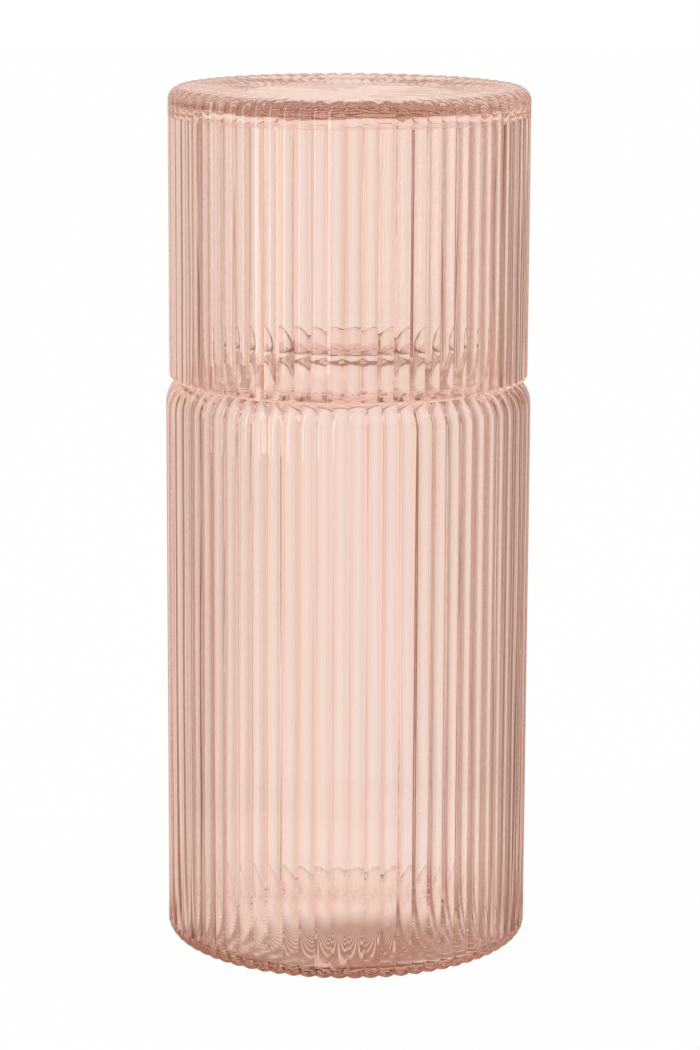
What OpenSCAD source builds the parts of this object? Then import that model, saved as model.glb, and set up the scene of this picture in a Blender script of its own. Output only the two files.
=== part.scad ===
// Bedside carafe with its tumbler, both of ribbed rose glass, in millimetres.
// The origin is the centre of the carafe's foot on the table, +Z is up, and -Y faces the viewer.
// The tumbler stands upside down on the carafe's shoulder, round the neck, and lifts straight off.

/* [Carafe] */
// outside diameter over the ribs
carafe_d = 85; // [75:0.5:100]
// height of the shoulder, from the table to the crest of its ribs
shoulder_z = 134.5; // [110:0.5:170]
// radius of the rounded shoulder
shoulder_r = 7.4; // [6:0.1:8]
// radius of the rounded edge at the foot
carafe_foot_r = 2.8; // [2:0.1:4]
// how much of the foot's rounding the table flat takes away
carafe_foot_flat = 0.25; // [0.1:0.05:0.35]
// glass thickness of the side wall, to the crest of the ribs
carafe_wall = 2.6; // [2:0.1:3.5]
// glass thickness of the base
carafe_base = 2.2; // [2:0.1:4]
// radius between the inside floor and the inside wall
carafe_floor_r = 0.7; // [0.5:0.1:3]
// radius of the smooth disc in the middle of the base
carafe_disc_r = 23.5; // [18:0.5:28]
// how far above the table that disc lies
carafe_disc_z = 1.4; // [1:0.1:2]

/* [Neck] */
// outside diameter of the neck
neck_d = 43.8; // [40:0.2:48]
// glass thickness of the neck, which is rounded over at the lip
neck_wall = 1.8; // [1.4:0.1:2.4]
// height of the lip above the crest of the shoulder
neck_rise = 7; // [6.5:0.1:12]
// radius between the shoulder and the neck
neck_fillet_r = 6; // [4:0.1:6.4]

/* [Tumbler] */
// outside diameter over the ribs
tumbler_d = 83.4; // [78:0.2:86]
// height from its rim to its foot
tumbler_h = 67.1; // [50:0.1:90]
// glass thickness of the side wall, to the crest of the ribs
tumbler_wall = 2.4; // [1.8:0.1:3]
// radius of the rounded edge at the foot
tumbler_foot_r = 3.2; // [2:0.1:4.5]
// how much of the foot's rounding the table flat takes away
tumbler_foot_flat = 0.12; // [0.05:0.01:0.3]
// height of the inside floor above the foot
tumbler_floor_h = 4; // [3.2:0.1:6]
// radius between the inside floor and the inside wall
tumbler_floor_r = 3; // [1.5:0.1:5]
// radius of the smooth disc in the middle of the base
tumbler_disc_r = 23.5; // [18:0.5:28]
// depth of that disc below the foot
tumbler_disc_h = 1.3; // [1:0.1:2]
// radius of the polished edges of the rim
rim_r = 0.9; // [0.6:0.05:1.1]

/* [Ribs] */
// number of ribs round each glass
rib_count = 70; // [60:1:84]
// depth of the grooves between the ribs
rib_depth = 0.5; // [0.35:0.05:0.7]
// angle that the carafe's ribs are turned about the axis
carafe_rib_turn = 0.4; // [0:0.1:5]
// angle that the tumbler's ribs are turned about the axis
tumbler_rib_turn = 3.8; // [0:0.1:5]
// length of the grooves that run in over the carafe's shoulder
shoulder_run = 11; // [8:0.5:12]
// width of the level ring inside the foot's rounding, before the base rises to its disc
foot_ring = 3.5; // [2:0.1:4.5]

/* [Fit] */
// clearance between the tumbler's rim and the shoulder that carries it
seat_gap = 0.3; // [0.2:0.05:0.5]

/* [Hidden] */
$fn = 48;
glass = [0.89, 0.70, 0.64, 0.55];
// how far a rib's body sinks below the groove
rib_root = 0.2;
// fineness to which a rib's radius is rounded, so that its pieces meet exactly
fine_step = 0.001;
// share of full size at which a glass and its ribs are joined
join_share = 0.01;
// how far a cut runs past the glass
overrun = 3;
// share of its height that the hollow's slope goes on below the table
low_share = 0.25;
// how far the rim's rounding overshoots the faces that it meets
rim_over = 0.1;
carafe_r = carafe_d / 2;
tumbler_r = tumbler_d / 2;
neck_r = neck_d / 2;
carafe_in_r = carafe_r - carafe_wall;
tumbler_in_r = tumbler_r - tumbler_wall;
rib_t = rib_depth + rib_root;
core_in = rib_depth + rib_root / 2;
plate_in = rib_depth + 3 * rib_root / 4;
shoulder_c = carafe_r - shoulder_r;
carafe_top = shoulder_z - core_in;
lip_r = neck_wall / 2;
lip_z = shoulder_z + neck_rise - lip_r;
neck_in_r = neck_r - neck_wall;
in_shoulder_z = carafe_top - neck_wall;
in_shoulder_r = shoulder_r - carafe_wall;
// the tumbler's rim rests on the shoulder's curve, one rounding against the other
rim_c = tumbler_in_r + rim_r - rim_over;
seat_reach = shoulder_r + rim_r + seat_gap;
seat_rise = sqrt(pow(seat_reach, 2) - pow(rim_c - shoulder_c, 2));
rim_z = shoulder_z - shoulder_r + seat_rise - rim_r + rim_over;

// radius of a rib's arc, from its crest r, the grooves' depth and their number
function rib_arc(r) =
  let (a = 180 / rib_count, v = r - rib_depth)
  let (arc = (pow(r, 2) + pow(v, 2) - 2 * r * v * cos(a)) / (2 * (r - v * cos(a))))
  fine_step * round(arc / fine_step);

// radius at which a base begins to rise
function rise_r(r, foot_r) = r - foot_r - foot_ring;

// how far the ribs run in under a base, until its rise has taken them away
function base_run(reach, disc_h) = foot_ring + min(reach, rib_t * reach / disc_h);

// section of one rib, with its crest at x = c
module rib_section(c, arc) {
  intersection() {
    translate([c - arc, 0])
      circle(r = arc);
    translate([c - rib_t, -arc])
      square([rib_t + arc, 2 * arc]);
  }
}

// one rib up a wall of crest radius r: under the base, round the foot's edge and up to height top
module rib_up(r, foot_r, flat, disc_r, disc_h, top) {
  arc = rib_arc(r);
  run = base_run(rise_r(r, foot_r) - disc_r, disc_h);
  translate([r - foot_r, 0, foot_r - flat]) {
    linear_extrude(height = top - foot_r + flat)
      rib_section(foot_r, arc);
    rotate([-90, 0, 0])
      rotate_extrude(angle = 90)
        rib_section(foot_r, arc);
    rotate([0, 90, 0])
      translate([0, 0, -run])
        linear_extrude(height = run)
          rib_section(foot_r, arc);
  }
}

// the same rib's way over the carafe's shoulder and in towards the neck
module rib_over() {
  arc = rib_arc(carafe_r);
  translate([shoulder_c, 0, shoulder_z - shoulder_r]) {
    rotate([90, 0, 0])
      rotate_extrude(angle = 90)
        rib_section(shoulder_r, arc);
    rotate([0, -90, 0])
      linear_extrude(height = shoulder_run)
        rib_section(shoulder_r, arc);
  }
}

// half section of a glass under its ribs, from a level base up to height top
module foot_core(r, foot_r, flat, top) {
  foot_c = foot_r - flat;
  translate([0, plate_in - flat])
    square([r - foot_r, top - plate_in + flat]);
  translate([r - foot_r, foot_c])
    circle(r = foot_r - core_in);
  translate([0, foot_c])
    square([r - core_in, top - foot_c]);
}

// everything below the table that a glass stands on, and the hollow under its base
module base_cut(r, foot_r, disc_r, disc_h) {
  ring_r = rise_r(r, foot_r);
  low_r = ring_r + (ring_r - disc_r) * low_share;
  low_z = -disc_h * low_share;
  rotate_extrude() {
    translate([0, -overrun])
      square([r + overrun, overrun]);
    polygon([[0, disc_h], [disc_r, disc_h], [low_r, low_z], [0, low_z]]);
  }
}

// half section of the carafe's body under its ribs
module carafe_core() {
  foot_core(carafe_r, carafe_foot_r, carafe_foot_flat, shoulder_z - shoulder_r);
  translate([shoulder_c, shoulder_z - shoulder_r])
    circle(r = shoulder_r - core_in);
  translate([0, shoulder_z - shoulder_r])
    square([shoulder_c, shoulder_r - core_in]);
}

// half section of the neck outside, from the shoulder up to the middle of the lip
module neck_outside() {
  difference() {
    translate([0, carafe_top - neck_wall])
      square([neck_r + neck_fillet_r, neck_wall + neck_fillet_r]);
    translate([neck_r + neck_fillet_r, carafe_top + neck_fillet_r])
      circle(r = neck_fillet_r);
  }
  translate([0, carafe_top])
    square([neck_r, lip_z - carafe_top]);
}

// half section of the space inside the carafe
module carafe_inside() {
  in_fillet_r = neck_fillet_r + neck_wall;
  floor_c = carafe_base + carafe_floor_r;
  floor_out_r = carafe_in_r - carafe_floor_r;
  polygon([
    [0, carafe_disc_z + carafe_base],
    [carafe_disc_r, carafe_disc_z + carafe_base],
    [rise_r(carafe_r, carafe_foot_r), carafe_base],
    [floor_out_r, carafe_base],
    [floor_out_r, in_shoulder_z - in_shoulder_r],
    [0, in_shoulder_z - in_shoulder_r]
  ]);
  translate([floor_out_r, floor_c])
    circle(r = carafe_floor_r);
  translate([0, floor_c])
    square([carafe_in_r, in_shoulder_z - in_shoulder_r - floor_c]);
  translate([carafe_in_r - in_shoulder_r, in_shoulder_z - in_shoulder_r])
    circle(r = in_shoulder_r);
  translate([0, in_shoulder_z - in_shoulder_r])
    square([carafe_in_r - in_shoulder_r, in_shoulder_r]);
  difference() {
    translate([0, in_shoulder_z])
      square([neck_in_r + in_fillet_r, in_fillet_r]);
    translate([neck_in_r + in_fillet_r, in_shoulder_z + in_fillet_r])
      circle(r = in_fillet_r);
  }
  translate([0, in_shoulder_z])
    square([neck_in_r, shoulder_z + neck_rise - in_shoulder_z + overrun]);
}

// half section of the carafe without its ribs
module carafe_section() {
  difference() {
    union() {
      carafe_core();
      neck_outside();
    }
    carafe_inside();
  }
  translate([neck_r - lip_r, lip_z])
    circle(r = lip_r);
}

// one rib of the carafe, from under its base to the neck
module carafe_rib() {
  rib_up(carafe_r, carafe_foot_r, carafe_foot_flat, carafe_disc_r, carafe_disc_z,
    shoulder_z - shoulder_r);
  rib_over();
}

module carafe() {
  color(glass)
    scale(1 / join_share)
      difference() {
        union() {
          scale(join_share)
            rotate_extrude()
              carafe_section();
          for (i = [0 : rib_count - 1])
            rotate([0, 0, carafe_rib_turn + i * 360 / rib_count])
              scale(join_share)
                carafe_rib();
        }
        scale(join_share)
          base_cut(carafe_r, carafe_foot_r, carafe_disc_r, carafe_disc_z);
      }
}

// half section of the tumbler without its ribs, with its foot down
module tumbler_section() {
  floor_c = tumbler_floor_h + tumbler_floor_r;
  difference() {
    foot_core(tumbler_r, tumbler_foot_r, tumbler_foot_flat, tumbler_h + overrun);
    translate([0, tumbler_floor_h])
      square([tumbler_in_r - tumbler_floor_r, tumbler_h - tumbler_floor_h + 2 * overrun]);
    translate([tumbler_in_r - tumbler_floor_r, floor_c])
      circle(r = tumbler_floor_r);
    translate([0, floor_c])
      square([tumbler_in_r, tumbler_h - floor_c + 2 * overrun]);
  }
}

// one rib of the tumbler, which runs past the rim
module tumbler_rib() {
  rib_up(tumbler_r, tumbler_foot_r, tumbler_foot_flat, tumbler_disc_r, tumbler_disc_h,
    tumbler_h + overrun / 2);
}

// what is cut off above the rim, with the polished rounding of its two edges
module rim_cut() {
  out_c = tumbler_r - rim_r + rim_over;
  in_c = tumbler_in_r + rim_r - rim_over;
  mid_z = tumbler_h - rim_r + rim_over;
  rotate_extrude()
    difference() {
      translate([tumbler_in_r - overrun, mid_z])
        square([tumbler_wall + 2 * overrun, 2 * overrun]);
      intersection() {
        union() {
          translate([out_c, mid_z])
            circle(r = rim_r);
          translate([in_c, mid_z])
            circle(r = rim_r);
          translate([in_c, mid_z - rim_r])
            square([out_c - in_c, 2 * rim_r]);
        }
        square([tumbler_r + overrun, tumbler_h]);
      }
    }
}

// the tumbler with its foot down, at the size at which it is joined
module small_tumbler() {
  difference() {
    union() {
      scale(join_share)
        rotate_extrude()
          tumbler_section();
      for (i = [0 : rib_count - 1])
        rotate([0, 0, tumbler_rib_turn + i * 360 / rib_count])
          scale(join_share)
            tumbler_rib();
    }
    scale(join_share)
      base_cut(tumbler_r, tumbler_foot_r, tumbler_disc_r, tumbler_disc_h);
    scale(join_share)
      rim_cut();
  }
}

module tumbler() {
  color(glass)
    translate([0, 0, rim_z + tumbler_h])
      mirror([0, 0, 1])
        scale(1 / join_share)
          small_tumbler();
}

carafe();
tumbler();
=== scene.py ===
# %% [markdown]
# This lesson dresses a bedside carafe and the tumbler that stands upside down on it as its lid.
# Both are one piece of glass each, pressed with seventy ribs and tinted rose. The CAD model gives
# the sizes and the motion, and here each glass becomes one finer mesh, whose ribs, rounded edges
# and slightly uneven inside bend the light as on the real set. So nearly all of the work is in
# three things: the skins of the glass, what the glass is made of, and what stands round it in
# the studio, because clear glass shows little else.

import math

import bpy
from mathutils import Matrix, Vector


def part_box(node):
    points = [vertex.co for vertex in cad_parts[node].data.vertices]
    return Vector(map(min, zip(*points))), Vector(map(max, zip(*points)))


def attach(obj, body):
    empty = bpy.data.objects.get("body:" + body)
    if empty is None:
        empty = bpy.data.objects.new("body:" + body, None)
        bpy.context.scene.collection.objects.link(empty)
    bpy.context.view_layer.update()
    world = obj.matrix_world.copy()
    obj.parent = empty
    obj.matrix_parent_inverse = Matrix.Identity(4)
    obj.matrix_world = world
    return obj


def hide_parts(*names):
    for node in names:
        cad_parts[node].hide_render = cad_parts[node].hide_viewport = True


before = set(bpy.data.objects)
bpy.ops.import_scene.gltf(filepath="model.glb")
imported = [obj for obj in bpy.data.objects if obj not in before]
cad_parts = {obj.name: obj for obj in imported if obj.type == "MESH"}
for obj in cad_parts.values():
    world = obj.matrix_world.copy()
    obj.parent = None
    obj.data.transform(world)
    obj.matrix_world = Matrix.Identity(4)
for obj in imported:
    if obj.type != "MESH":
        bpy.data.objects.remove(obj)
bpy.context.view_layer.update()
MM = 0.001
carafe_low, carafe_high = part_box("carafe")
tumbler_low, tumbler_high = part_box("tumbler")
print("carafe", carafe_low, carafe_high)
print("tumbler", tumbler_low, tumbler_high)

# %% [markdown]
# The sizes are those of the CAD model, in millimetres. Most of them are radii and heights of the
# outline of a glass that has been cut in half. The shoulder, the foot and the rim are quarter
# circles, and the neck grows out of the shoulder in a hollow curve. A rounded edge gets enough
# steps to turn by about ten degrees in each, because glass shows every flat.

# %% Sizes of both glasses
RIBS = 70
RIB_ANGLE = 2 * math.pi / RIBS
RIB_DEPTH = 0.5
FOOT_RING = 3.5
NEAR = 0.01
print(RIBS, "ribs of", round(math.degrees(RIB_ANGLE), 3), "degrees,", RIB_DEPTH, "mm deep")

# %% Sizes of the carafe
CARAFE_R = 42.5
CARAFE_WALL = 2.6
CARAFE_TURN = 0.4
CARAFE_FOOT_R = 2.8
CARAFE_FOOT_FLAT = 0.25
CARAFE_FOOT_STEPS = 11
CARAFE_BASE = 2.2
CARAFE_FLOOR_R = 0.7
CARAFE_FLOOR_STEPS = 8
CARAFE_ROWS = (18, 42, 66, 90, 112)
CARAFE_INNER_ROWS = (118, 106, 94, 82, 70, 58, 46, 34, 22, 12, 6)
PLAIN_R = 23.5
FADE = 12
DOME_H = 1.4
DOME_RADII = (0, 6, 12, 18, PLAIN_R, 26, 29, 32, 34)
print("the carafe is", round(2 * carafe_high[0] / MM, 3), "mm across")

# %% Sizes of the shoulder and the neck
SHOULDER_Z = 134.5
SHOULDER_R = 7.4
SHOULDER_STEPS = 11
SHOULDER_RADII = (32.0, 29.0, 27.0, 25.7)
RIBS_END_R = 25.6
NECK_R = 21.9
NECK_WALL = 1.8
NECK_TOP = 141.5
LIP_STEPS = 9
FILLET_R = 6.0
FILLET_Z = 133.9
FILLET_START = 244
FILLET_STEPS = 7
INNER_TOP = 132.1
INNER_STEPS = 7
print("the lip is", round(NECK_TOP - SHOULDER_Z, 3), "mm above the shoulder")

# %% Sizes of the tumbler
TUMBLER_R = 41.7
TUMBLER_H = 67.1
TUMBLER_WALL = 2.4
TUMBLER_TURN = 3.8
TUMBLER_FOOT_R = 3.2
TUMBLER_FOOT_FLAT = 0.12
TUMBLER_FOOT_STEPS = 12
TUMBLER_FLOOR_H = 4.0
TUMBLER_FLOOR_R = 3.0
TUMBLER_FLOOR_STEPS = 9
TUMBLER_FLOOR_RADII = (24.0, 12.0, 0.0)
TUMBLER_ROWS = (10, 18, 26, 34, 42, 50, 58)
TUMBLER_INNER_ROWS = (58, 50, 42, 34, 26, 18, 12)
DISC_R = 23.5
DISC_H = 1.3
DISC_EDGE = 0.6
SLOPE_SHARES = (0.06, 0.3, 0.55, 0.8, 1.0)
RIM_R = 0.9
RIM_STEPS = 8
tumbler_top = tumbler_high[2] / MM
print("the tumbler's foot is at", round(tumbler_top, 3), "mm")

# %% [markdown]
# A pressed glass is a body of revolution, so it starts as its outline in one half plane. By hand
# that is a single vertex, extruded from point to point. The points come from straight runs and
# arcs, and an arc is given by its centre, its radius and the two angles between which it runs.


# %% Points of an outline
def arc(cx, cz, r, start, end, steps):
    """Points on an arc, with the angles in degrees from the outward direction."""
    turn = [math.radians(start + (end - start) * i / steps) for i in range(steps + 1)]
    return [(cx + r * math.cos(a), cz + r * math.sin(a)) for a in turn]


def wall(r, heights):
    """Points up or down a straight wall."""
    return [(r, z) for z in heights]


def level_run(radii, z):
    """Points in or out at one height."""
    return [(r, z) for r in radii]


def rise_r(wall_r, foot_r):
    """Radius at which a base begins to rise from the level ring that the glass stands on."""
    return wall_r - foot_r - FOOT_RING


print("the carafe's base rises inside", rise_r(CARAFE_R, CARAFE_FOOT_R), "mm")

# %% [markdown]
# The two bases differ. Through the wall of the carafe no step is seen in its base, so it rises
# in a shallow dome. The photograph shows the tumbler's foot from above, with a level disc in its
# middle, which a slope joins to the ring that the tumbler stands on when it is in use.


# %% The two bases
def dome(ring_r, low, high):
    """Points of a shallow dome, level in its middle and level again at its ring."""
    radii = [*DOME_RADII, ring_r]
    shares = [(1 + math.cos(math.pi * r / ring_r)) / 2 for r in radii]
    return [(r, low + (high - low) * share) for r, share in zip(radii, shares)]


def disc(ring_r, low, high, disc_r):
    """Points of a level disc and of the slope round it."""
    points = level_run((0.0, disc_r / 2, disc_r - DISC_EDGE, disc_r), high)
    for share in SLOPE_SHARES:
        points.append((disc_r + (ring_r - disc_r) * share, high - (high - low) * share))
    return points


def foot(wall_r, foot_r, flat, steps):
    """The outside from the level ring to the wall, round the edge."""
    ring_r = rise_r(wall_r, foot_r)
    points = level_run([ring_r + FOOT_RING / 2], -flat)
    return points + arc(wall_r - foot_r, foot_r - flat, foot_r, -90, 0, steps)


print("the dome is", DOME_H, "mm high, the disc", DISC_H)

# %% [markdown]
# The outline of the carafe goes from the middle of the base out under the foot, up the wall, over
# the shoulder and the lip, and back down the inside to the middle of the floor. The number of
# outside points is kept, because the ribs and the coat belong on the outside only.

# %% Outline of the carafe, outside
ring_r = rise_r(CARAFE_R, CARAFE_FOOT_R)
carafe_line = dome(ring_r, -CARAFE_FOOT_FLAT, DOME_H)
carafe_line += foot(CARAFE_R, CARAFE_FOOT_R, CARAFE_FOOT_FLAT, CARAFE_FOOT_STEPS)
carafe_line += wall(CARAFE_R, CARAFE_ROWS)
shoulder_c = CARAFE_R - SHOULDER_R
carafe_line += arc(shoulder_c, SHOULDER_Z - SHOULDER_R, SHOULDER_R, 0, 90, SHOULDER_STEPS)
carafe_line += level_run(SHOULDER_RADII, SHOULDER_Z)
fillet_c = NECK_R + FILLET_R
carafe_line += arc(fillet_c, FILLET_Z + FILLET_R, FILLET_R, FILLET_START, 180, FILLET_STEPS)
lip_r = NECK_WALL / 2
carafe_line += arc(NECK_R - lip_r, NECK_TOP - lip_r, lip_r, 0, 90, LIP_STEPS)
carafe_outside = len(carafe_line)
print("carafe outline:", carafe_outside, "points outside")

# %% Outline of the carafe, inside
carafe_line += arc(NECK_R - lip_r, NECK_TOP - lip_r, lip_r, 90, 180, LIP_STEPS)[1:]
inner_fillet = FILLET_R + NECK_WALL
carafe_line += arc(fillet_c, INNER_TOP + inner_fillet, inner_fillet, 180, 270, INNER_STEPS)
inner_r = CARAFE_R - CARAFE_WALL
turn_r = SHOULDER_R - CARAFE_WALL
carafe_line += arc(inner_r - turn_r, INNER_TOP - turn_r, turn_r, 90, 0, INNER_STEPS)
carafe_line += wall(inner_r, CARAFE_INNER_ROWS)
floor_r = CARAFE_FLOOR_R
carafe_line += arc(inner_r - floor_r, CARAFE_BASE + floor_r, floor_r, 0, -90, CARAFE_FLOOR_STEPS)
carafe_line += dome(ring_r, CARAFE_BASE, CARAFE_BASE + DOME_H)[::-1]
print("carafe outline:", len(carafe_line), "points in all")

# %% Outline of the tumbler, with its foot down
ring_r = rise_r(TUMBLER_R, TUMBLER_FOOT_R)
tumbler_line = disc(ring_r, -TUMBLER_FOOT_FLAT, DISC_H, DISC_R)
tumbler_line += foot(TUMBLER_R, TUMBLER_FOOT_R, TUMBLER_FOOT_FLAT, TUMBLER_FOOT_STEPS)
tumbler_line += wall(TUMBLER_R, TUMBLER_ROWS)
tumbler_line += arc(TUMBLER_R - RIM_R, TUMBLER_H - RIM_R, RIM_R, 0, 90, RIM_STEPS)
tumbler_outside = len(tumbler_line)
inner_r = TUMBLER_R - TUMBLER_WALL
tumbler_line += arc(inner_r + RIM_R, TUMBLER_H - RIM_R, RIM_R, 90, 180, RIM_STEPS)
tumbler_line += wall(inner_r, TUMBLER_INNER_ROWS)
floor_r = TUMBLER_FLOOR_R
floor_c = TUMBLER_FLOOR_H + floor_r
tumbler_line += arc(inner_r - floor_r, floor_c, floor_r, 0, -90, TUMBLER_FLOOR_STEPS)
tumbler_line += level_run(TUMBLER_FLOOR_RADII, TUMBLER_FLOOR_H)
print("tumbler outline:", len(tumbler_line), "points,", tumbler_outside, "of them outside")

# %% [markdown]
# One rib is enough to model. The outline is spun through one seventieth of a turn, from crest to
# crest, which leaves a smooth sector. How deep each of its vertices sinks goes into a vertex
# group: nothing on a crest, all of the depth in the valley, along the arc of the rib between
# them. Copied seventy times and welded, it makes the whole glass, and a Displace modifier then
# presses the ribs in along the surface, so they keep their shape round the foot and over the
# shoulder as well. Under the base and towards the neck the ribs crowd together, and the same
# arc leaves less and less of a groove between them, as it does in the real mould.


# %% The depth of a rib
def rib_arc(crest_r):
    """Radius of the arc of a rib on a wall of that crest radius."""
    half = RIB_ANGLE / 2
    valley = crest_r - RIB_DEPTH
    top = crest_r**2 + valley**2 - 2 * crest_r * valley * math.cos(half)
    return top / (2 * (crest_r - valley * math.cos(half)))


def sink(r, share, crest_r):
    """How far the surface lies under the crest, at a share of the way across a rib."""
    off = min(share, 1 - share) * 2 * math.pi / RIBS * r
    rho = rib_arc(crest_r)
    return rho - math.sqrt(rho**2 - off**2)


print("rib arc of the carafe", round(rib_arc(CARAFE_R), 3), "mm")


# %% Edit mode helpers
def only(obj):
    """Select this object alone and make it active."""
    bpy.ops.object.select_all(action="DESELECT")
    obj.select_set(True)
    bpy.context.view_layer.objects.active = obj


def edit(obj):
    """Enter edit mode on this object alone, with all of it selected."""
    only(obj)
    bpy.ops.object.mode_set(mode="EDIT")
    bpy.ops.mesh.select_mode(type="VERT")
    bpy.ops.mesh.select_all(action="SELECT")


def spin(obj, steps, angle, copies=False):
    """Spin everything about the upright axis, as a skin or as separate copies."""
    edit(obj)
    bpy.ops.mesh.spin(steps=steps, angle=angle, dupli=copies, center=(0, 0, 0), axis=(0, 0, 1))
    bpy.ops.object.mode_set(mode="OBJECT")


print("helpers: only, edit, spin")


# %% An outline as a chain of edges
def outline(name, points, turn):
    """A chain of edges from point to point, in the half plane at that azimuth."""
    bpy.ops.object.select_all(action="DESELECT")
    bpy.ops.mesh.primitive_plane_add(size=MM, location=(0, 0, 0))
    obj = bpy.context.object
    obj.name = name
    across = Vector((math.cos(turn), math.sin(turn), 0)) * MM
    spots = [across * r + Vector((0, 0, z * MM)) for r, z in points]
    edit(obj)
    bpy.ops.mesh.merge(type="CENTER")
    bpy.ops.transform.translate(value=spots[0])
    for here, there in zip(spots, spots[1:]):
        bpy.ops.mesh.extrude_vertices_move(TRANSFORM_OT_translate={"value": there - here})
    bpy.ops.object.mode_set(mode="OBJECT")
    return obj


print("outlines are drawn from a single vertex")

# %% [markdown]
# The groups are filled by place: a vertex knows its radius and its angle, and the point of the
# outline that lies nearest to it tells whether it is outside. The other group marks the inside,
# which no mould has touched, so that it comes out slightly uneven. The same group is kept as an
# attribute as well, which tells the material on which skin it lies, because a place alone can't
# tell the two skins of a shoulder apart.


# %% Vertex groups of the sector
def weigh(obj, name, weights):
    """Fill a vertex group with one weight for each vertex."""
    group = obj.vertex_groups.new(name=name)
    for index, weight in enumerate(weights):
        if weight > 0:
            group.add([index], min(weight, 1.0), "REPLACE")


def weigh_sector(obj, points, outside, crest_r, turn, fade):
    """Fill one group with how deep the ribs go, and one with what lies inside."""
    rows = [(Vector((r, z)), i < outside) for i, (r, z) in enumerate(points)]
    ribs, air = [], []
    for v in obj.data.vertices:
        place = Vector((math.hypot(v.co.x, v.co.y), v.co.z)) / MM
        out = min(rows, key=lambda row: (row[0] - place).length)[1]
        share = ((math.atan2(v.co.y, v.co.x) - turn) / RIB_ANGLE) % 1.0
        depth = sink(place.x, share, crest_r) / RIB_DEPTH
        ribs.append(depth * fade(place.x, place.y) if out else 0.0)
        air.append(0.0 if out else 1.0)
    weigh(obj, "ribs", ribs)
    weigh(obj, "air", air)


def mark_outside(obj):
    """Keep in an attribute which vertices are on the outside."""
    group = obj.vertex_groups["air"].index
    inside = [any(g.group == group for g in v.groups) for v in obj.data.vertices]
    skin = obj.data.attributes.new("outside", "FLOAT", "POINT")
    skin.data.foreach_set("value", [0.0 if hidden else 1.0 for hidden in inside])


print("groups: ribs and air, attribute: outside")


# %% Pressing and turning over
def press(obj, group, strength):
    """Displace along the normals by a group's weights, and apply."""
    only(obj)
    mod = obj.modifiers.new(group, "DISPLACE")
    mod.vertex_group = group
    mod.strength = strength
    mod.mid_level = 0.0
    bpy.ops.object.modifier_apply(modifier=mod.name)


def turn_over(obj, height):
    """Stand a glass on its rim, with its foot at that height."""
    edit(obj)
    bpy.ops.transform.mirror(constraint_axis=(False, False, True), center_override=(0, 0, 0))
    bpy.ops.transform.translate(value=(0, 0, height * MM))
    bpy.ops.mesh.normals_make_consistent(inside=False)
    bpy.ops.object.mode_set(mode="OBJECT")


print("ribs are pressed", RIB_DEPTH, "mm deep")

# %% [markdown]
# The foot is drawn a little lower than the table. What is still under the table once the ribs
# are pressed in is set back on it, and this gives each crest the small flat that it stands on.

# %% One glass from its outline
COLUMNS = 12
WELD = 0.003


def ribbed_glass(name, points, outside, crest_r, turn, fade):
    """Spin the outline into a whole glass, and press the ribs into its outside."""
    turn = math.radians(turn)
    obj = outline(name, points, turn)
    spin(obj, COLUMNS, RIB_ANGLE)
    weigh_sector(obj, points, outside, crest_r, turn, fade)
    spin(obj, RIBS - 1, RIB_ANGLE * (RIBS - 1), copies=True)
    edit(obj)
    bpy.ops.mesh.remove_doubles(threshold=WELD * MM)
    bpy.ops.mesh.normals_make_consistent(inside=False)
    bpy.ops.object.mode_set(mode="OBJECT")
    press(obj, "ribs", -RIB_DEPTH * MM)
    for v in obj.data.vertices:
        v.co.z = max(v.co.z, 0.0)
    mark_outside(obj)
    return obj


print("a rib has", COLUMNS, "columns of faces")

# %% [markdown]
# The ribs of the carafe run from its base to where the shoulder turns into the neck. Under the
# base they fade out towards the middle, because no groove shows there on the real one.


# %% Carafe
def carafe_fade(r, z):
    """Share of the ribs' depth: they fade out under the base and end before the neck."""
    if z < SHOULDER_Z / 2:
        return min(max((r - PLAIN_R) / FADE, 0.0), 1.0)
    return 1.0 if r > RIBS_END_R and z < SHOULDER_Z + NEAR else 0.0


carafe = ribbed_glass(
    "carafe_glass_body", carafe_line, carafe_outside, CARAFE_R, CARAFE_TURN, carafe_fade
)
print(carafe.name, len(carafe.data.polygons), "faces", tuple(carafe.dimensions / MM))

# %% [markdown]
# The tumbler is made the right way up, as it was pressed, and then turned over on to the carafe.
# Its grooves run in under the foot as far as the disc, and run out over the rounded rim.


# %% Tumbler
def tumbler_fade(r, z):
    """Share of the ribs' depth: none on the disc, and less and less over the rim."""
    if z < TUMBLER_H - RIM_R:
        return 1.0 if r > DISC_R + NEAR else 0.0
    return math.sqrt(max(1 - ((z - TUMBLER_H + RIM_R) / RIM_R) ** 2, 0.0))


tumbler = ribbed_glass(
    "tumbler_glass_body", tumbler_line, tumbler_outside, TUMBLER_R, TUMBLER_TURN, tumbler_fade
)
turn_over(tumbler, tumbler_top)
print(tumbler.name, len(tumbler.data.polygons), "faces", tuple(tumbler.dimensions / MM))

# %% [markdown]
# The inside of such a glass is shaped by a plunger or by air, and never comes out as true as the
# mould. A very slight waviness there, about a tenth of a millimetre over a centimetre or two,
# is what makes the light run in streaks down the wall instead of in ruled lines. A cloud texture
# drives a second Displace modifier on the inside only, so the outline stays that of the model.

# %% The uneven inside
WAVE_DEPTH = 0.25
CARAFE_WAVE = 14
TUMBLER_WAVE = 12
WAVE_STRETCH = 4
SHARP = 34


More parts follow.
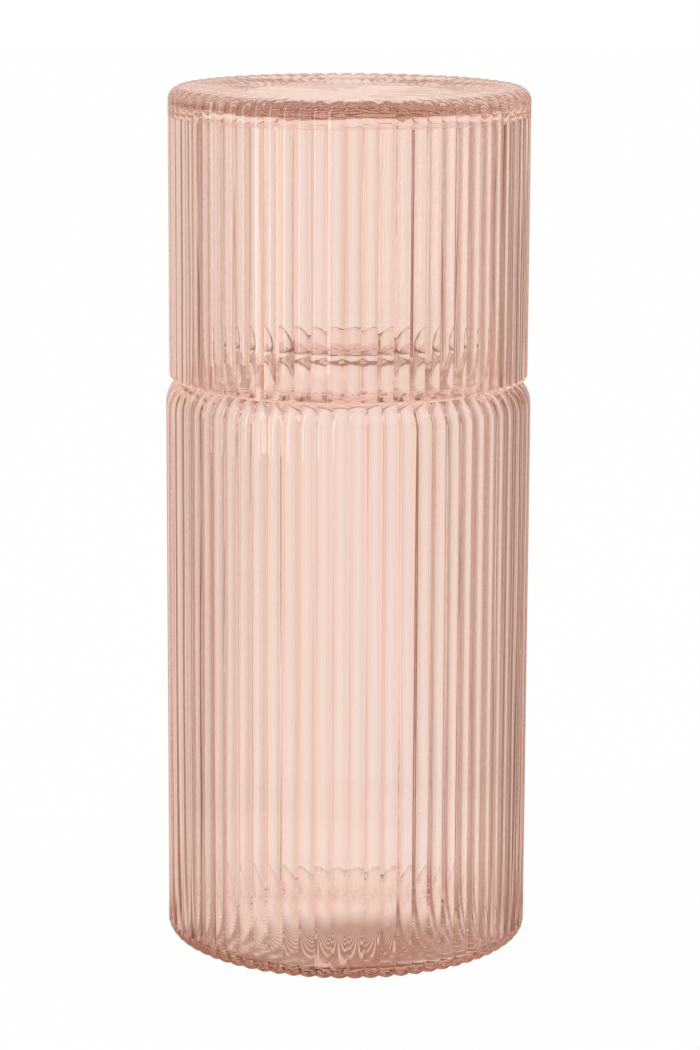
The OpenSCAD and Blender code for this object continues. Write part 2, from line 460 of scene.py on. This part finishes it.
def waves(obj, size):
    """A gentle unevenness of the inside, longer than it is wide."""
    texture = bpy.data.textures.new(obj.name + "_waves", "CLOUDS")
    texture.noise_scale = size * MM
    texture.noise_depth = 1
    scale = Matrix.Diagonal((1, 1, 1 / WAVE_STRETCH, 1))
    obj.data.transform(scale)
    only(obj)
    mod = obj.modifiers.new("waves", "DISPLACE")
    mod.texture = texture
    mod.texture_coords = "LOCAL"
    mod.vertex_group = "air"
    mod.direction = "NORMAL"
    mod.strength = WAVE_DEPTH * MM
    mod.mid_level = 0.5
    bpy.ops.object.modifier_apply(modifier=mod.name)
    obj.data.transform(scale.inverted())


for glass, size in ((carafe, CARAFE_WAVE), (tumbler, TUMBLER_WAVE)):
    waves(glass, size)
    only(glass)
    bpy.ops.object.shade_smooth_by_angle(angle=math.radians(SHARP))
    print(glass.name, "is wavy by", WAVE_DEPTH / 2, "mm either way at most")

# %% [markdown]
# A small class keeps the shader maths readable. It wraps the output of a node, and a sum or a
# product of two wraps adds the Math node that works it out. Everything else goes through one
# method, which makes a node, gives it its settings and fills or links its sockets.


# %% Shader maths
class Wire:
    """The output of a node, to calculate with."""

    def __init__(self, finish, socket):
        self.finish = finish
        self.socket = socket

    def __add__(self, other):
        return self.finish.maths("ADD", self, other)

    def __sub__(self, other):
        return self.finish.maths("SUBTRACT", self, other)

    def __rsub__(self, other):
        return self.finish.maths("SUBTRACT", other, self)

    def __mul__(self, other):
        return self.finish.maths("MULTIPLY", self, other)

    def __gt__(self, other):
        return self.finish.maths("GREATER_THAN", self, other)

    def __lt__(self, other):
        return self.finish.maths("LESS_THAN", self, other)

    def __abs__(self):
        return self.finish.maths("ABSOLUTE", self)

    __radd__ = __add__
    __rmul__ = __mul__

    def most(self, other):
        return self.finish.maths("MAXIMUM", self, other)

    def least(self, other):
        return self.finish.maths("MINIMUM", self, other)

    def root(self):
        return self.finish.maths("SQRT", self)

    def cosine(self):
        return self.finish.maths("COSINE", self)

    def angle(self, other):
        """Angle whose tangent is this over the other, all the way round."""
        return self.finish.maths("ARCTAN2", self, other)


print("wires add, subtract, multiply and compare")


# %% Building a node tree
class Finish:
    """A node tree that is being built, with its closing node."""

    def __init__(self, owner):
        owner.use_nodes = True
        self.tree = owner.node_tree

    def fill(self, socket, value):
        if isinstance(value, Wire):
            self.tree.links.new(value.socket, socket)
        else:
            socket.default_value = value

    def node(self, kind, settings=None, sockets=None, out=0):
        made = self.tree.nodes.new("ShaderNode" + kind)
        for name, value in (settings or {}).items():
            setattr(made, name, value)
        for name, value in (sockets or {}).items():
            self.fill(made.inputs[name], value)
        return Wire(self, made.outputs[out])

    def maths(self, operation, first, second=0.0):
        return self.node("Math", {"operation": operation}, {0: first, 1: second})

    def wires(self, kind, sockets=None):
        """All the outputs of a new node, by name."""
        outputs = self.node(kind, {}, sockets).socket.node.outputs
        return {socket.name: Wire(self, socket) for socket in outputs}

    def millimetres(self, place):
        """The three parts of a place on the object."""
        return [part * (1 / MM) for part in self.wires("SeparateXYZ", {0: place}).values()]

    def mix(self, share, first, second, blend="MIX"):
        """A colour between two, or the two multiplied."""
        settings = {"data_type": "RGBA", "blend_type": blend}
        return self.node("Mix", settings, {0: share, 6: first, 7: second}, out=2)

    def spread(self, value, low, high, to_low=0.0, to_high=1.0):
        """A value carried over from one range to another, and kept inside it."""
        return self.node("MapRange", {}, {0: value, 1: low, 2: high, 3: to_low, 4: to_high})


print("a finish is built from nodes")

# %% [markdown]
# The set is rose glass. In the photograph the deep parts are a strong warm brown: the foot, and
# the edge of the tumbler's base, where light runs a long way through the glass. So the glass
# itself absorbs more of green and blue than of red. The walls are only a few millimetres thick,
# and yet richer than that alone makes them, so a rose coat on the outside skin adds the rest.
# The coat is painted deeper in the grooves between the ribs, as painted shade that gives each
# rib its outline, it thins out over the shoulder to the neck, and it varies a little in patches.
# The skin has a very faint orange peel, and the neck, which is shaped in the flame, is slightly
# less clear.

# %% Values of the glass
COAT = (0.96, 0.665, 0.565, 1)
INSIDE = (1.0, 1.0, 1.0, 1)
THIN = 0.6
NECK_COAT = 0.3
NECK_COAT_R = NECK_R + 9
PATCH_SCALE = 45.0
PATCH_RANGE = (0.3, 0.7)
PATCH_COAT = 0.93
PATCH_ROUGH = 0.008
NECK_ROUGH = 0.05
NECK_EDGE = 1
NECK_CLEAR = 5
PEEL = 0.04
PEEL_SCALE = 220.0
PEEL_DEPTH = 0.0002
IOR = 1.5
BODY = (0.88, 0.8, 0.76, 1)
BODY_DENSITY = 42.0
print("coat", COAT[:3], "glass", BODY[:3])


# %% Shares of the coat
def neck_thinned(rose, radius, z):
    """All of the coat on the wall and the base, and less of it towards the neck."""
    share = rose.spread(radius, NECK_COAT_R, CARAFE_R, NECK_COAT, 1.0)
    return share.most(z < SHOULDER_Z / 2)


def coated_all_over(rose, radius, z):
    """The same coat everywhere."""
    return 1.0


def coat_with_groove_shade(rose, angle):
    """The coat across the ribs: none inside, all in a groove as painted shade, less on a crest.
    """
    groove = 0.5 - 0.5 * (angle * RIBS).cosine()
    outside = rose.node("Attribute", {"attribute_name": "outside"}, out=2)
    return outside * (THIN + (1 - THIN) * groove)


print("the crests have", THIN, "of the coat, and the neck", NECK_COAT)


# %% The skin
def neck_haze(rose, radius, z):
    """Roughness of the neck."""
    haze = rose.spread(radius, NECK_R + NECK_EDGE, NECK_R + NECK_CLEAR, NECK_ROUGH, 0.0)
    return haze * (z > INNER_TOP) * (z < NECK_TOP + NECK_EDGE)


def orange_peel(rose, place):
    """A faint unevenness of the whole skin."""
    peel = rose.node("TexNoise", {}, {"Vector": place, "Scale": PEEL_SCALE, "Detail": 1.0})
    return rose.node("Bump", {}, {"Strength": PEEL, "Distance": PEEL_DEPTH, "Height": peel})


print("the neck's roughness is", NECK_ROUGH)


# %% Rose glass
def rose_glass(name, thinned, turn):
    """Clear glass that absorbs a little, with a rose coat outside."""
    material = bpy.data.materials.new(name)
    rose = Finish(material)
    shader = rose.tree.nodes["Principled BSDF"].inputs
    place = rose.node("TexCoord", out=3)
    x, y, z = rose.millimetres(place)
    radius = (x * x + y * y).root()
    # The coat is painted deeper in each groove, as shade between the ribs
    coat = coat_with_groove_shade(rose, y.angle(x) - math.radians(turn)) * thinned(rose, radius, z)
    patches = rose.node("TexNoise", {}, {"Vector": place, "Scale": PATCH_SCALE, "Detail": 2.0})
    coat = coat * rose.spread(patches, *PATCH_RANGE, PATCH_COAT, 1.0)
    rose.fill(shader["Base Color"], rose.mix(coat, INSIDE, COAT))
    rough = rose.spread(patches, *PATCH_RANGE, 0.0, PATCH_ROUGH)
    rose.fill(shader["Roughness"], rough + neck_haze(rose, radius, z))
    rose.fill(shader["Normal"], orange_peel(rose, place))
    shader["Transmission Weight"].default_value = 1.0
    shader["IOR"].default_value = IOR
    depth = rose.node("VolumeAbsorption", {}, {"Color": BODY, "Density": BODY_DENSITY})
    rose.fill(rose.tree.nodes["Material Output"].inputs["Volume"], depth)
    print(name, "has", len(rose.tree.nodes), "nodes")
    return material


print("glass of IOR", IOR)

# %% The two glasses
for glass, body, node, thinned, turn in (
    (carafe, "carafe_body", "carafe", neck_thinned, CARAFE_TURN),
    (tumbler, "tumbler_body", "tumbler", coated_all_over, TUMBLER_TURN),
):
    glass.data.materials.clear()
    glass.data.materials.append(rose_glass("rose_glass_of_the_" + node, thinned, turn))
    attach(glass, body)
    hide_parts(node)

# %% [markdown]
# Clear glass is drawn by what stands round it. White straight behind it gives the light of the
# walls, and the dark edges and streaks come from narrow dark bands painted into the floor's and
# the sky's light at both sides, in threes, where flags would stand, and the ribs bend them into
# view. So the studio has one level of light for each direction round the object, and the floor
# and the sky share it. The angle runs from straight behind the object to the right, and where the
# studio is dim its light is also warmer.

# %% Light by direction
FRONT_LEFT = [(-180, 0.8), (-125, 0.8), (-105, 1.0), (-73, 1.0)]
# Painted dark bands in the studio's light, in threes, where flags would stand
LEFT_DARK_BANDS = [(-70, 0.22), (-66, 0.22), (-62, 0.9), (-58, 0.25), (-55, 0.25), (-51, 0.9)]
LEFT_DARK_BANDS += [(-46, 0.35), (-43, 0.35), (-39, 0.9)]
BEHIND = [(-22, 0.88), (-8, 0.99), (8, 0.99), (23, 0.87)]
RIGHT_DARK_BANDS = [(27, 0.3), (30, 0.3), (33.5, 0.92), (37, 0.2), (40, 0.2), (43, 0.75)]
RIGHT_DARK_BANDS += [(46, 0.28), (50, 0.28), (58, 0.9)]
FRONT_RIGHT = [(95, 1.0), (115, 0.65), (180, 0.8)]
STUDIO = FRONT_LEFT + LEFT_DARK_BANDS + BEHIND + RIGHT_DARK_BANDS + FRONT_RIGHT
WARM = (1.6, 2.0)
WHITE = (1, 1, 1, 1)


def level(finish, x, y):
    """The studio's light in the direction of x and y, as a colour."""
    turn = x.angle(y) * (0.5 / math.pi) + 0.5
    ramp = finish.node("ValToRGB", {}, {0: turn})
    stops = ramp.socket.node.color_ramp
    stops.interpolation = "EASE"
    while len(stops.elements) < len(STUDIO):
        stops.elements.new(0.5)
    for stop, (angle, light) in zip(stops.elements, STUDIO):
        stop.position = (angle + 180) / 360
        stop.color = (light, light ** WARM[0], light ** WARM[1], 1)
    return ramp


print("the studio has", len(STUDIO), "stops")

# %% [markdown]
# The photograph is a product shot on pure white. The floor is white to the camera and has the
# studio's level for all rays that come through the glass. There its directions are counted from
# the near edge of the foot. It keeps the object's shadow. For rays through the glass a deep warm
# shade is painted into the floor under the foot, where little light would come in, with a painted
# ring of it under the near part of the edge. Painted spokes of light, where light would get in
# between the ribs, break both.

# %% Painted shade under the foot
# Colour of the shade painted on the floor under the foot
PAINTED_SHADE_COLOUR = (0.26, 0.06, 0.002, 1)
SHADE_X, SHADE_Y = 3, -20
SHADE_WIDE, SHADE_DEEP = 26, 22
SHADE_EDGE = (0.6, 1.2)
RING_R = 40
RING_EDGE = (4, 8)
RING_NEAR = (-20, 0)
SPOKES = 0.35
SPOKE_TURN = 0.6 * math.pi
SPOKE_EDGE = (-0.7, -0.3)


def open_floor(paint, x, y):
    """1 where the floor lies open, and less in the painted shade under the foot and its ring."""
    across, along = (x - SHADE_X) * (1 / SHADE_WIDE), (y - SHADE_Y) * (1 / SHADE_DEEP)
    blob = paint.spread((across * across + along * along).root(), *SHADE_EDGE)
    ring = paint.spread(abs((x * x + y * y).root() - RING_R), *RING_EDGE)
    ring = ring.most(paint.spread(y, *RING_NEAR))
    # Painted spokes of light between the ribs, lighter lines through the painted shade
    turned = y.angle(x) * RIBS - SPOKE_TURN
    spokes = paint.spread(turned.cosine(), *SPOKE_EDGE, SPOKES, 1.0)
    return 1 - (1 - blob.least(ring)) * spokes


print("the shade is centred on", (SHADE_X, SHADE_Y), "and the ring has radius", RING_R)

# %% Floor
FLOOR_SIZE = 6
FLOOR_Z = -0.05
FLOOR_COLOUR = (0.9, 0.9, 0.9, 1)
FLOOR_ROUGH = 0.6
GLOW = 0.97
bpy.ops.object.select_all(action="DESELECT")
bpy.ops.mesh.primitive_plane_add(size=FLOOR_SIZE, location=(0, 0, FLOOR_Z * MM))
floor = bpy.context.object
floor.name = "floor"
white = bpy.data.materials.new("white_floor")
paint = Finish(white)
rays = paint.wires("LightPath")
camera_ray = rays["Is Camera Ray"]
seen = (camera_ray + rays["Is Glossy Ray"] + rays["Is Transmission Ray"]).least(1.0)
x, y, _ = paint.millimetres(paint.node("TexCoord", out=3))
# The painted shade under the foot, laid over the studio's level of light
colour = paint.mix(open_floor(paint, x, y), PAINTED_SHADE_COLOUR, level(paint, x, y + CARAFE_R))
colour = paint.mix(camera_ray, colour, WHITE)
glow = paint.node("Emission", {}, {"Color": colour, "Strength": 1.0})
shader = paint.tree.nodes["Principled BSDF"]
shader.inputs["Base Color"].default_value = FLOOR_COLOUR
shader.inputs["Roughness"].default_value = FLOOR_ROUGH
matt = Wire(paint, shader.outputs[0])
mixed = paint.node("MixShader", {}, {0: seen * GLOW, 1: matt, 2: glow})
paint.fill(paint.tree.nodes["Material Output"].inputs["Surface"], mixed)
floor.data.materials.append(white)
print("the floor has", len(paint.tree.nodes), "nodes")

# %% [markdown]
# The camera looks slightly down, from the front, through a long lens. Its pitch, its distance
# and its lens were fitted to the outline of the set in the photograph.

# %% Camera
PITCH = math.radians(11.804)
ROLL = math.radians(0.256)
DISTANCE = 822.2 * MM
AIM = Vector((0, 0, 97.7 * MM))
SENSOR_HIGH = 36
LENS = 119.97
SHIFT_X = 0.0022
CLIP_START = 0.05
camera_data = bpy.data.cameras.new("camera")
camera = bpy.data.objects.new("camera", camera_data)
bpy.context.collection.objects.link(camera)
camera_data.sensor_fit = "VERTICAL"
camera_data.sensor_height = SENSOR_HIGH
camera_data.lens = LENS
camera_data.shift_x = SHIFT_X
camera_data.clip_start = CLIP_START
back = Vector((0, -math.cos(PITCH), math.sin(PITCH))) * DISTANCE
tilt = Matrix.Rotation(math.pi / 2 - PITCH, 4, "X")
camera.matrix_world = Matrix.Translation(AIM + back) @ tilt @ Matrix.Rotation(ROLL, 4, "Z")
bpy.context.scene.camera = camera
print("camera at", tuple(round(c, 4) for c in camera.location))

# %% [markdown]
# The sky takes its levels from the same directions as the floor. Above the horizon it is rose
# and dimmer than the floor's far end, because the disc on top of the tumbler mirrors it there,
# and it is brighter again at the ceiling.

# %% World
SKY = (0.95, 0.76, 0.68, 1)
SKY_RISE = (0.0, 0.06)
CEILING = (1.0, 0.94, 0.9, 1)
CEILING_RISE = (0.2, 0.5)
world = bpy.data.worlds.new("studio")
bpy.context.scene.world = world
studio = Finish(world)
x, y, up = studio.wires("SeparateXYZ", {0: studio.node("TexCoord", out=0)}).values()
sky = studio.mix(studio.spread(up, *SKY_RISE), level(studio, x, y), SKY, "MULTIPLY")
colour = studio.mix(studio.spread(up, *CEILING_RISE), sky, CEILING)
camera_ray = studio.wires("LightPath")["Is Camera Ray"]
background = studio.tree.nodes["Background"].inputs
studio.fill(background["Color"], studio.mix(camera_ray, colour, WHITE))
background["Strength"].default_value = 1.0
print("the sky goes from", SKY[:3], "to", CEILING[:3])

# %% [markdown]
# One tall softbox stands at the left, in front. It adds a soft sheen on that side of the glass.
# The rest of the light comes from the floor and the sky.

# %% Lamp
LAMP_TURN = math.radians(215)
LAMP_DISTANCE = 0.7
LAMP_HIGH = 0.35
LAMP_WIDE, LAMP_TALL = 0.12, 0.9
LAMP_POWER = 1.5
LAMP_AIM = Vector((0, 0, 0.1))
spot = Vector((math.cos(LAMP_TURN), math.sin(LAMP_TURN), 0)) * LAMP_DISTANCE
spot += Vector((0, 0, LAMP_HIGH))
bpy.ops.object.light_add(type="AREA", location=spot)
lamp = bpy.context.object
lamp.name = "left_softbox"
lamp.data.shape = "RECTANGLE"
lamp.data.size, lamp.data.size_y = LAMP_WIDE, LAMP_TALL
lamp.data.energy = LAMP_POWER
lamp.rotation_euler = (LAMP_AIM - spot).to_track_quat("-Z", "Y").to_euler()
print("lamp at", tuple(round(c, 3) for c in spot))

# %% [markdown]
# Light that is caught in a lip or a thick edge is turned back many times before it comes out.
# With too few turns allowed it never does, and those places go grey.

# %% Light paths and colours
BOUNCES = 128
scene = bpy.context.scene
scene.view_settings.view_transform = "Standard"
scene.cycles.max_bounces = BOUNCES
scene.cycles.glossy_bounces = BOUNCES
scene.cycles.transmission_bounces = BOUNCES
print("light may turn", BOUNCES, "times")
